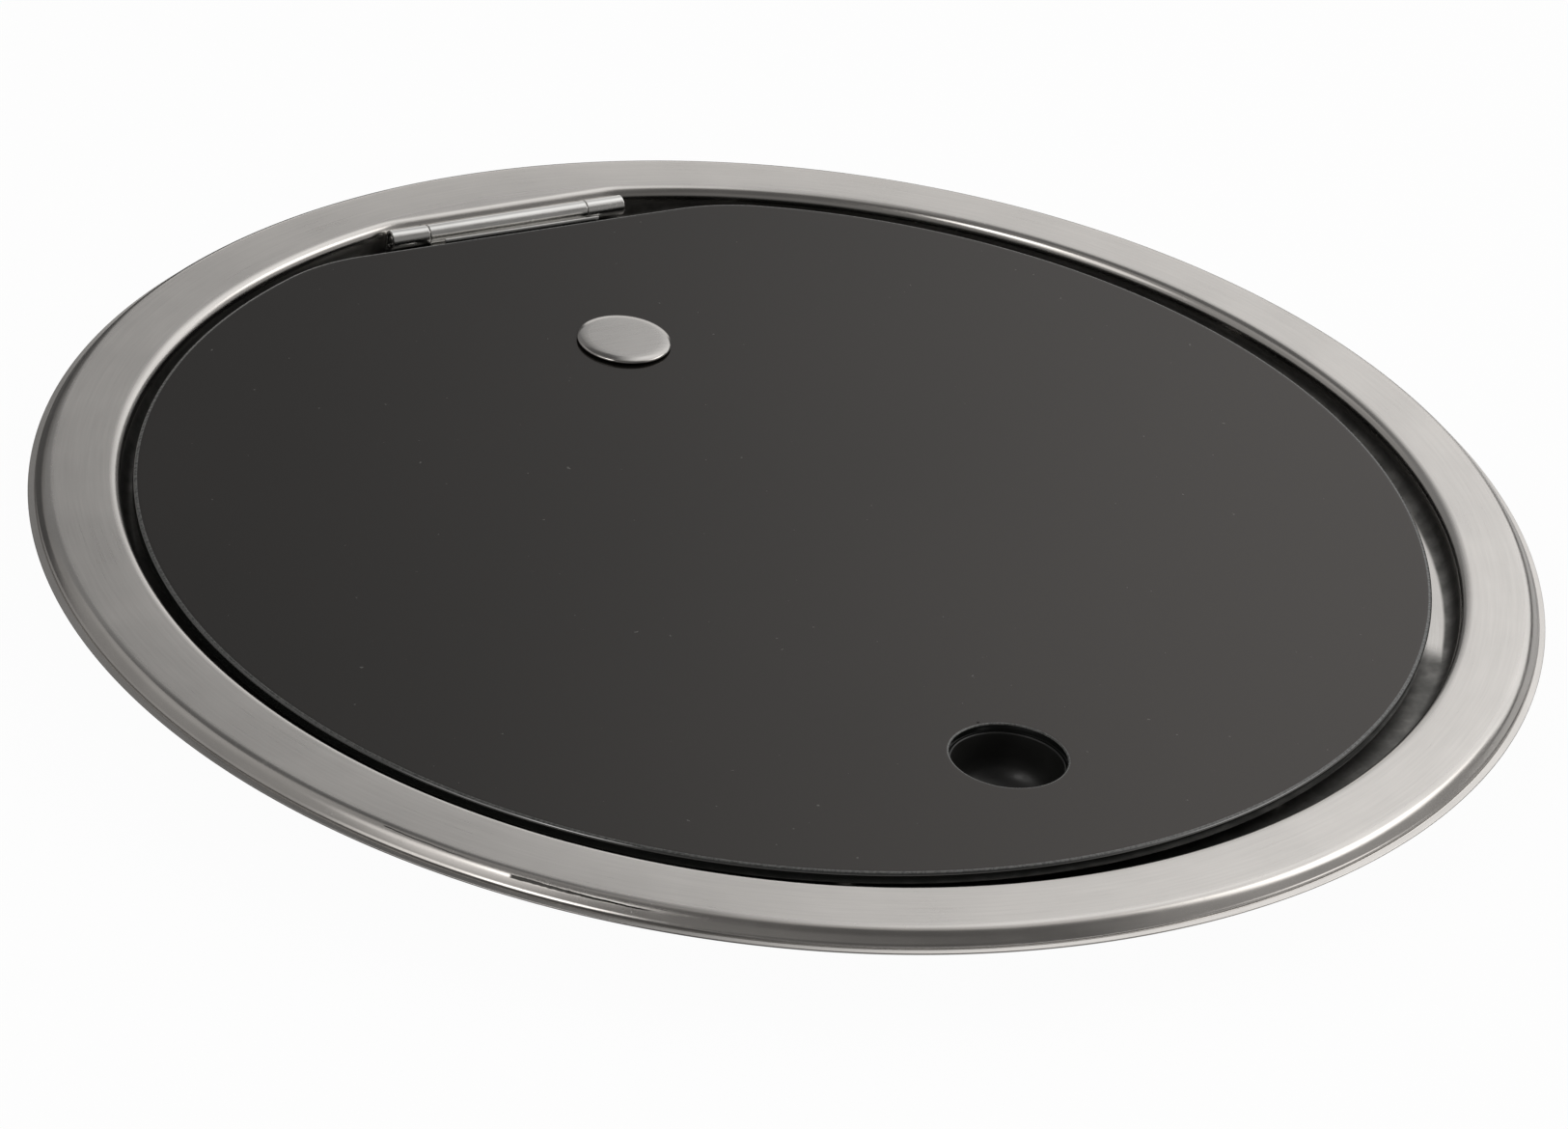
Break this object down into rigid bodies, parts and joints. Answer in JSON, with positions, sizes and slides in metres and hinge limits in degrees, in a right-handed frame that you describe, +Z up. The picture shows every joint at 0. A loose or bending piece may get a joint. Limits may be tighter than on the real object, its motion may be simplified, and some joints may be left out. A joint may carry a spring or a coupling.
{
  "type": "deck hatch",
  "caption": "Round flush deck hatch: stainless frame with a recessed ledge and a hinged smoked-glass lid with a finger hole.",
  "frame": {"origin": "centre of the round frame in X and Y, at the foot of the collar in Z (the lowest point)", "axes": "+Z up, out of the deck; the hinge is on the +Y side and the finger hole on the -Y side; the deck plane is at z = 24 mm"},
  "size_m": [0.44, 0.44, 0.0323],
  "materials": {
    "brushed_steel": "satin",
    "bright_steel": "polished",
    "smoked_glass": "gloss",
    "rubber": "matte",
    "foam": "matte",
    "nylon": "matte",
    "bond_tape": "matte",
    "gloss_black": "gloss",
    "black_plastic": "satin"
  },
  "bodies": {
    "frame": {"frame_rim": "brushed_steel", "deck_gasket": "foam", "lid_seal": "rubber", "fixing_screw_1": "bright_steel", "fixing_screw_2": "bright_steel", "fixing_screw_3": "bright_steel", "fixing_screw_4": "bright_steel", "fixing_screw_5": "bright_steel", "fixing_screw_6": "bright_steel", "fixing_screw_7": "bright_steel", "fixing_screw_8": "bright_steel", "drain_spigot_left": "black_plastic", "drain_nut_left": "black_plastic", "drain_spigot_right": "black_plastic", "drain_nut_right": "black_plastic", "hinge_fixed_leaf": "brushed_steel", "hinge_pin": "bright_steel", "hinge_rivet_1": "bright_steel", "hinge_rivet_2": "bright_steel", "hinge_rivet_3": "bright_steel"},
    "lid": {"lid_glass": "smoked_glass", "hinge_lid_leaf": "bright_steel", "leaf_pad": "bond_tape", "bolt_cap": "brushed_steel", "cap_gasket": "rubber", "glass_bush": "nylon", "leaf_washer": "bright_steel", "lock_washer": "bright_steel", "dome_nut": "bright_steel", "finger_cup": "gloss_black", "cup_bond_ring": "bond_tape"}
  },
  "joints": [
    {"name": "lid_hinge", "type": "hinge", "parent": "frame", "child": "lid", "pos_m": [0, 0.187, 0.0277], "axis": [-1, 0, 0], "range_deg": [0, 110]}
  ]
}
